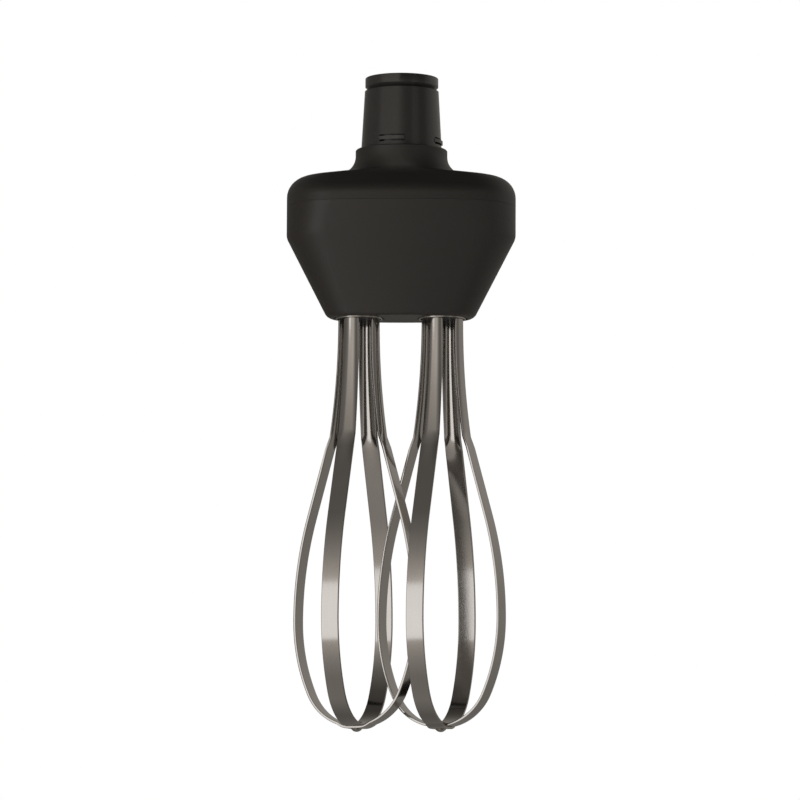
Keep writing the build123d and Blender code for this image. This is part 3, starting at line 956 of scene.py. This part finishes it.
@dataclass
class Whisk:
    """One whisk: two loops of strip, the rivet that joins them, a ferrule and a hub."""

    palette: Palette
    side: Side
    line: StripLine
    section: bpy.types.Object
    strip_tree: bpy.types.NodeTree
    turned_tree: bpy.types.NodeTree
    leg_turn: float = -22.5
    rivet_radius: float = 1.95
    rivet_height: float = 1.1
    rivet_top: float = 0.6
    rivet_steps: int = 8
    ferrule_wall: float = 0.4
    ferrule_edge: float = 0.16
    segments: int = 96

    def __post_init__(self) -> None:
        """Take the whisk's axis from its ferrule."""
        low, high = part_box(self.side.node("ferrule"))
        self.axis_x = (low.x + high.x) / 2
        self.ferrule_radius = (high.x - low.x) / 2 / MM
        self.ferrule_levels = (low.z / MM, high.z / MM)

    def place(self, piece: bpy.types.Object, turn: float) -> None:
        """Turn a piece's mesh about Z and set it on the whisk's axis."""
        spin = Matrix.Rotation(math.radians(turn), 4, "Z")
        piece.data.transform(Matrix.Translation((self.axis_x, 0.0, 0.0)) @ spin)

    def loop(self, outer: bool, turn: float) -> None:
        """Sweep one loop of strip and put it on the whisk.

        Args:
            outer: True for the loop whose pad lies underneath.
            turn: Turn of the loop's plane about the whisk axis, in degrees.
        """
        kind = "outer_loop" if outer else "inner_loop"
        piece = self.line.draw(self.side.node(kind.replace("loop", "strip")), outer)
        PathTool.apply(piece, self.strip_tree, {
            "Section": self.section,
            "Curled Above": (self.line.kink_half - self.line.kink_level) * MM,
            "Flat Below": -(self.line.kink_half + self.line.kink_level) * MM,
            "Narrow Above": (self.line.underside - self.line.shank_straight) * MM,
            "Narrow Share": self.line.shank_width / self.line.width,
            "Curl Axis": (self.line.shank_radius - self.line.curl_radius) * MM,
            "Thickness": self.line.thickness * MM,
            "Finish": self.palette.materials[Slot.STRIP_STEEL],
        })
        close_up(piece.data)
        smooth(piece.data, 40.0)
        self.place(piece, turn)
        settle(piece, self.side.body, Slot.STRIP_STEEL, self.side.node(kind))

    def turned(self, name: str, profile: Sequence[Point], turn: float = 0.0) -> bpy.types.Object:
        """Turn a closed profile of radius and level about the whisk axis."""
        points = [(radius - 1.0, -level, 0.0) for radius, level in profile]
        chain = [(index, index + 1) for index in range(len(points) - 1)]
        if profile[0][0] > 0.0:
            chain.append((len(points) - 1, 0))
        piece = drawn_object(name, points, chain)
        PathTool.apply(piece, self.turned_tree, {
            "Segments": self.segments,
            "Finish": self.palette.materials[Slot.RIVET_STEEL],
        })
        close_up(piece.data, 0.001 * MM)
        smooth(piece.data, 35.0)
        self.place(piece, turn)
        return piece

    def rivet(self) -> None:
        """Domed rivet under the pads, with its formed head inside."""
        under = self.line.pad_level(True) - self.line.thickness / 2
        over = self.line.pad_level(False) + self.line.thickness / 2
        bowl = (self.rivet_radius ** 2 + self.rivet_height ** 2) / (2 * self.rivet_height)
        spread = math.asin(self.rivet_radius / bowl)
        angles = [spread * step / self.rivet_steps for step in range(self.rivet_steps + 1)]
        dome = [(bowl * math.sin(a), under - self.rivet_height + bowl * (1 - math.cos(a))) for a in angles]
        top = over + self.rivet_top
        head = [(self.rivet_radius, over), (self.rivet_radius, top - 0.2), (self.rivet_radius - 0.2, top), (0.0, top)]
        piece = self.turned(self.side.node("rivet_turning"), dome + head)
        settle(piece, self.side.body, Slot.RIVET_STEEL, self.side.node("rivet"))

    def ferrule(self) -> None:
        """Thin sleeve round the hub."""
        bottom, top = self.ferrule_levels
        outer = self.ferrule_radius
        inner = outer - self.ferrule_wall
        edge = self.ferrule_edge
        profile = [
            (outer - edge, bottom), (outer - edge * 0.3, bottom + edge * 0.3), (outer, bottom + edge), (outer, top),
            (inner, top), (inner, bottom + edge), (inner + edge * 0.3, bottom + edge * 0.3), (inner + edge, bottom),
        ]
        piece = self.turned(self.side.node("ferrule_sleeve"), profile)
        settle(piece, self.side.body, Slot.RIVET_STEEL, self.side.node("ferrule"))

    def build(self) -> None:
        """Build and dress the whisk's pieces."""
        outer_turn, inner_turn = self.leg_turn, self.leg_turn + 90.0
        if self.side is Side.RIGHT:
            outer_turn, inner_turn = inner_turn, outer_turn
        self.loop(True, outer_turn)
        self.loop(False, inner_turn)
        self.rivet()
        self.ferrule()
        hub = polished_copy(self.side.node("hub"), self.side.node("hub_moulding"), 28.0)
        self.palette.dress(hub, Slot.HUB_BLACK)
        settle(hub, self.side.body, Slot.HUB_BLACK, self.side.node("hub"))


@dataclass
class GearTrain:
    """Gears, shafts and bushes inside the housing, as they come from the frame."""

    palette: Palette

    def build(self) -> None:
        """Dress every inner node with its slot's finish."""
        shown = {"coupling_stub", "drive_dog", "upper_cover", "lower_housing"}
        shown |= {side.node(piece) for side in Side
                  for piece in ("hub", "ferrule", "outer_loop", "inner_loop", "rivet")}
        for subpart in frame["record"]["subparts"]:
            node = subpart["node"]
            if node not in shown:
                self.palette.dress(frame["nodes"][node], Slot(subpart["material_slot"]))
                log.info("%s dressed in %s", node, subpart["material_slot"])


@dataclass
class Studio:
    """White studio: floor, a grey tent and bright panels in reflections, lamps and the camera. Metres."""

    camera_turn: float = 1.6
    camera_roll: float = 0.28
    camera_place: tuple[float, float, float] = (-0.0001, -1.9, -0.307)
    camera_aim: tuple[float, float, float] = (-0.0001, 0.0, -0.0875)
    lens: float = 248.0
    floor_level: float = -0.45
    floor_half: float = 6.0
    floor_glow: float = 0.6
    ambient: float = 0.3
    tent_radius: float = 1.6
    tent_level: float = -0.1
    tent_front: tuple[Point, ...] = (
        (-1.0, 0.3), (-0.55, 0.3), (-0.38, 0.45), (-0.25, 0.62), (0.22, 0.74),
        (0.34, 0.44), (0.46, 0.24), (0.64, 0.1), (1.0, 0.05))
    tent_sides: tuple[Point, ...] = (
        (-1.0, 0.35), (-0.92, 0.4), (-0.82, 0.9), (-0.2, 1.1), (0.0, 0.66), (0.2, 0.3), (0.45, 0.26),
        (0.56, 0.55), (0.72, 0.5), (0.8, 0.28), (0.92, 0.3), (1.0, 0.6))
    tent_back: tuple[Point, ...] = ((-1.0, 0.33), (-0.3, 0.29), (0.1, 0.37), (0.4, 0.53), (0.7, 0.4), (1.0, 0.05))
    tent_back_sides: tuple[Point, ...] = ((-1.0, 0.4), (-0.4, 0.45), (0.0, 0.7), (0.4, 0.75), (1.0, 1.0))
    tent_depths: tuple[Point, ...] = ((-0.25, 0.0), (0.35, 1.0))
    panel_radius: float = 1.0
    panel_swing: float = 22.0
    panel_places: tuple[tuple[float, ...], ...] = ((-46.0, -0.336, 0.085),)
    panel_glow: float = 1.47
    warm_white: Colour = (1.0, 0.945, 0.87)
    panel_white: Colour = (1.0, 0.985, 0.97)

    def glowing(self, name: str) -> tuple[bpy.types.Material, Graph]:
        """Start a material that only glows."""
        material = bpy.data.materials.new(name)
        material.use_nodes = True
        material.node_tree.nodes.clear()
        return material, Graph(material.node_tree)

    def screen(self, piece: bpy.types.Object, material: bpy.types.Material) -> bpy.types.Object:
        """Make a mesh a screen that only reflections see."""
        piece.data.materials.append(material)
        piece.visible_camera = False
        piece.visible_diffuse = False
        piece.visible_shadow = False
        piece.visible_transmission = False
        return piece

    @staticmethod
    def grade(graph: Graph, stops: Sequence[Point], share: Value) -> Value:
        """Grey level between stops that run from -1 to 1."""
        stops = [(place / 2 + 0.5, (level,) * 3) for place, level in stops]
        return graph.add("ShaderNodeValToRGB", {"stops": stops}, {0: share * 0.5 + 0.5})

    def tent(self) -> bpy.types.Object:
        """Grey tent all round: bright along the front left, dark above, even at the back."""
        material, graph = self.glowing("grey_tent")
        place = graph.add("ShaderNodeTexCoord", output="Object")
        axes = graph.node("ShaderNodeSeparateXYZ", None, {0: place})
        sideways, backwards, height = (graph.value(axes, axis) for axis in "XYZ")
        upwards = (height - self.tent_level) / self.tent_radius
        front = self.grade(graph, self.tent_front, upwards)
        front = front * self.grade(graph, self.tent_sides, sideways / self.tent_radius)
        back = self.grade(graph, self.tent_back, upwards)
        back = back * self.grade(graph, self.tent_back_sides, sideways / self.tent_radius)
        share = self.grade(graph, self.tent_depths, backwards / self.tent_radius)
        level = front + (back - front) * share
        colour = graph.mix(level, (0.0, 0.0, 0.0), self.warm_white)
        light = graph.add("ShaderNodeEmission", None, {"Color": colour, "Strength": 1.0})
        graph.node("ShaderNodeOutputMaterial", None, {"Surface": light})
        mesh = bpy.data.meshes.new("grey_tent")
        shape = bmesh.new()
        centre = Matrix.Translation((0.0, 0.0, self.tent_level))
        bmesh.ops.create_uvsphere(shape, u_segments=48, v_segments=24, radius=self.tent_radius, matrix=centre)
        shape.to_mesh(mesh)
        shape.free()
        return self.screen(new_object("grey_tent", mesh), material)

    def panels(self) -> bpy.types.Object:
        """Bright upright panels inside the tent, at the given places: one to the front left."""
        material, graph = self.glowing("bright_panel")
        light = graph.add("ShaderNodeEmission", None, {"Color": (*self.panel_white, 1.0), "Strength": self.panel_glow})
        graph.node("ShaderNodeOutputMaterial", None, {"Surface": light})
        radius = self.panel_radius
        count = 12
        half = self.panel_swing / 2
        points: list[tuple[float, ...]] = []
        faces: list[tuple[int, ...]] = []
        for azimuth, *levels in self.panel_places:
            first = len(points)
            angles = np.radians(np.linspace(azimuth - half, azimuth + half, count + 1))
            points += [(radius * math.sin(a) / MM, -radius * math.cos(a) / MM, level / MM)
                       for level in levels for a in angles]
            faces += [(i, i + 1, i + count + 2, i + count + 1) for i in range(first, first + count)]
        return self.screen(drawn_object("bright_panels", points, [], faces), material)

    def world(self) -> None:
        """White world to the eye and in reflections, and a softer one as light."""
        world = bpy.data.worlds.new("studio_white")
        world.use_nodes = True
        world.node_tree.nodes.clear()
        graph = Graph(world.node_tree)
        path = graph.node("ShaderNodeLightPath")
        seen = graph.value(path, "Is Camera Ray").math("MAXIMUM", graph.value(path, "Is Glossy Ray"))
        seen = seen.math("MAXIMUM", graph.value(path, "Is Transmission Ray"))
        strength = seen * (1.0 - self.ambient) + self.ambient
        light = graph.add("ShaderNodeBackground", None, {"Color": (1.0, 1.0, 1.0, 1.0), "Strength": strength})
        graph.node("ShaderNodeOutputWorld", None, {"Surface": light})
        bpy.context.scene.world = world

    def floor(self) -> bpy.types.Object:
        """Pale floor below the camera, clear from underneath."""
        half, level = self.floor_half / MM, self.floor_level / MM
        corners = [(-half, -half, level), (half, -half, level), (half, half, level), (-half, half, level)]
        floor = drawn_object("floor", corners, [], [(0, 1, 2, 3)])
        material = bpy.data.materials.new("pale_floor")
        material.use_nodes = True
        material.node_tree.nodes.clear()
        graph = Graph(material.node_tree)
        place = graph.add("ShaderNodeTexCoord", output="Object")
        cloud = graph.noise(place, 1.5)
        colour = graph.mix(cloud, (0.86, 0.86, 0.86), (0.9, 0.9, 0.9))
        seen = graph.add("ShaderNodeLightPath", output="Is Camera Ray")
        glow = graph.mix(seen, (0.0, 0.0, 0.0), (self.floor_glow,) * 3)
        shader = graph.add("ShaderNodeBsdfPrincipled", None, {
            "Base Color": colour, "Roughness": 0.8, "Emission Color": glow, "Emission Strength": 1.0})
        below = graph.add("ShaderNodeNewGeometry", output="Backfacing")
        clear = graph.add("ShaderNodeBsdfTransparent")
        surface = graph.add("ShaderNodeMixShader", None, {0: below, 1: shader, 2: clear})
        graph.node("ShaderNodeOutputMaterial", None, {"Surface": surface})
        floor.data.materials.append(material)
        floor.visible_glossy = False
        return floor

    def lamp(self, name: str, place: Sequence[float], aim: Sequence[float], size: tuple[float, float],
             power: float, glossy: bool) -> None:
        """Area lamp that faces a point."""
        light = bpy.data.lights.new(name, "AREA")
        light.shape = "RECTANGLE"
        light.size, light.size_y = size
        light.energy = power
        lamp = bpy.data.objects.new(name, light)
        lamp.location = place
        lamp.rotation_euler = (Vector(aim) - Vector(place)).to_track_quat("-Z", "Y").to_euler()
        lamp.visible_glossy = glossy
        lamp.visible_camera = False
        bpy.context.scene.collection.objects.link(lamp)

    def camera(self) -> None:
        """Camera at the photograph's place."""
        data = bpy.data.cameras.new("photo_camera")
        data.lens = self.lens
        data.sensor_width = 36.0
        data.clip_start = 0.05
        data.clip_end = 50.0
        camera = bpy.data.objects.new("photo_camera", data)
        turn = Matrix.Rotation(math.radians(self.camera_turn), 3, "Z")
        place = turn @ Vector(self.camera_place)
        aim = (turn @ Vector(self.camera_aim) - place).to_track_quat("-Z", "Y").to_matrix()
        roll = Matrix.Rotation(math.radians(self.camera_roll), 3, "Z")
        camera.location = place
        camera.rotation_euler = (aim @ roll).to_euler()
        bpy.context.scene.collection.objects.link(camera)
        bpy.context.scene.camera = camera

    def build(self) -> None:
        """Set the studio up."""
        self.world()
        self.floor()
        self.tent()
        self.panels()
        centre = (0.0, 0.0, -0.06)
        self.lamp("key_left", (-0.75, -0.8, -0.3), centre, (0.5, 0.5), 7.0, False)
        self.lamp("fill_front", (0.3, -1.5, -0.3), centre, (0.8, 0.8), 4.0, False)
        self.lamp("floor_bounce", (0.0, -0.1, self.floor_level + 0.02), centre, (1.6, 1.6), 8.0, False)
        self.camera()
        bpy.context.scene.view_settings.view_transform = "Standard"


def corners(box: Sequence[Vector]) -> list[list[float]]:
    """Box as plain lists."""
    return [list(corner) for corner in box]


def main() -> None:
    """Build every sub-assembly in order."""
    logging.basicConfig(level=logging.INFO, format="%(name)s: %(message)s")
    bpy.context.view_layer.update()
    palette = Palette(FINISHES)
    CouplingStub(palette).build()
    Housing(palette).build()
    line = StripLine()
    section = line.section()
    strip_tree = PathTool.strip_tree()
    turned_tree = PathTool.turned_tree()
    for side in Side:
        Whisk(palette, side, line, section, strip_tree, turned_tree).build()
    drawn = section.data
    bpy.data.objects.remove(section)
    bpy.data.meshes.remove(drawn)
    GearTrain(palette).build()
    Studio().build()


if __name__ == "__main__":
    main()
